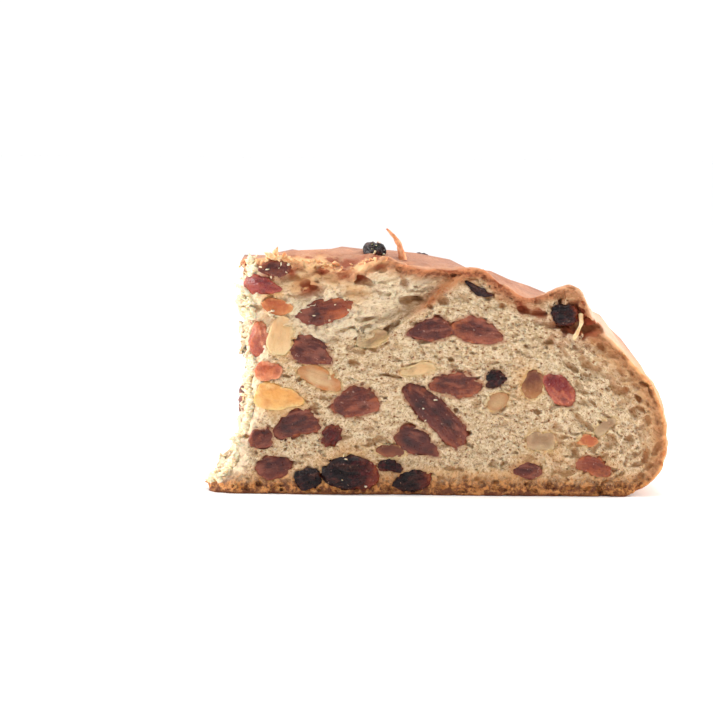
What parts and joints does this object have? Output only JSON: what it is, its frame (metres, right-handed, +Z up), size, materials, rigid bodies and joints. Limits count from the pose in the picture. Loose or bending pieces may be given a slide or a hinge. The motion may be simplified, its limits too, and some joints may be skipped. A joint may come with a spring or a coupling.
{
  "type": "pandolce",
  "caption": "Cut piece of pandolce, a low domed fruit bread: browned crust dome, a knife-cut face and a torn face full of raisins, candied fruit and pine nuts.",
  "frame": {"origin": "middle of the piece's footprint on the surface it rests on", "axes": "+Z up, +X along the knife-cut face from the torn edge to the crust, knife-cut face towards -Y"},
  "size_m": [0.1386, 0.1174, 0.0796],
  "materials": {
    "bread": "matte, browned crust over pale open crumb",
    "raisin": "moist, wrinkled, slightly see-through",
    "currant": "dark, wrinkled, satin",
    "golden_raisin": "moist amber",
    "pine_nut": "satin cream",
    "candied_orange": "glossy candied peel",
    "candied_citron": "glossy pale candied peel",
    "candied_cherry": "glossy red candied fruit"
  },
  "bodies": {
    "root": {"bread": "bread", "candied_cherry_01": "candied_cherry", "candied_cherry_02": "candied_cherry", "candied_cherry_03": "candied_cherry", "candied_cherry_04": "candied_cherry", "candied_cherry_05": "candied_cherry", "candied_citron_01": "candied_citron", "candied_citron_02": "candied_citron", "candied_citron_03": "candied_citron", "candied_citron_04": "candied_citron", "candied_citron_05": "candied_citron", "candied_citron_06": "candied_citron", "candied_citron_07": "candied_citron", "candied_orange_01": "candied_orange", "candied_orange_02": "candied_orange", "candied_orange_03": "candied_orange", "candied_orange_04": "candied_orange", "candied_orange_05": "candied_orange", "currant_01": "currant", "currant_02": "currant", "currant_03": "currant", "currant_04": "currant", "currant_05": "currant", "currant_06": "currant", "currant_07": "currant", "currant_08": "currant", "currant_09": "currant", "currant_10": "currant", "currant_11": "currant", "currant_12": "currant", "currant_13": "currant", "golden_raisin_01": "golden_raisin", "golden_raisin_02": "golden_raisin", "pine_nut_01": "pine_nut", "pine_nut_02": "pine_nut", "raisin_01": "raisin", "raisin_02": "raisin", "raisin_03": "raisin", "raisin_04": "raisin", "raisin_05": "raisin", "raisin_06": "raisin", "raisin_07": "raisin", "raisin_08": "raisin", "raisin_09": "raisin", "raisin_10": "raisin", "raisin_11": "raisin", "raisin_12": "raisin", "raisin_13": "raisin", "raisin_14": "raisin", "raisin_15": "raisin", "raisin_16": "raisin", "raisin_17": "raisin", "raisin_18": "raisin", "raisin_19": "raisin", "raisin_20": "raisin", "raisin_21": "raisin", "raisin_22": "raisin"}
  },
  "joints": []
}
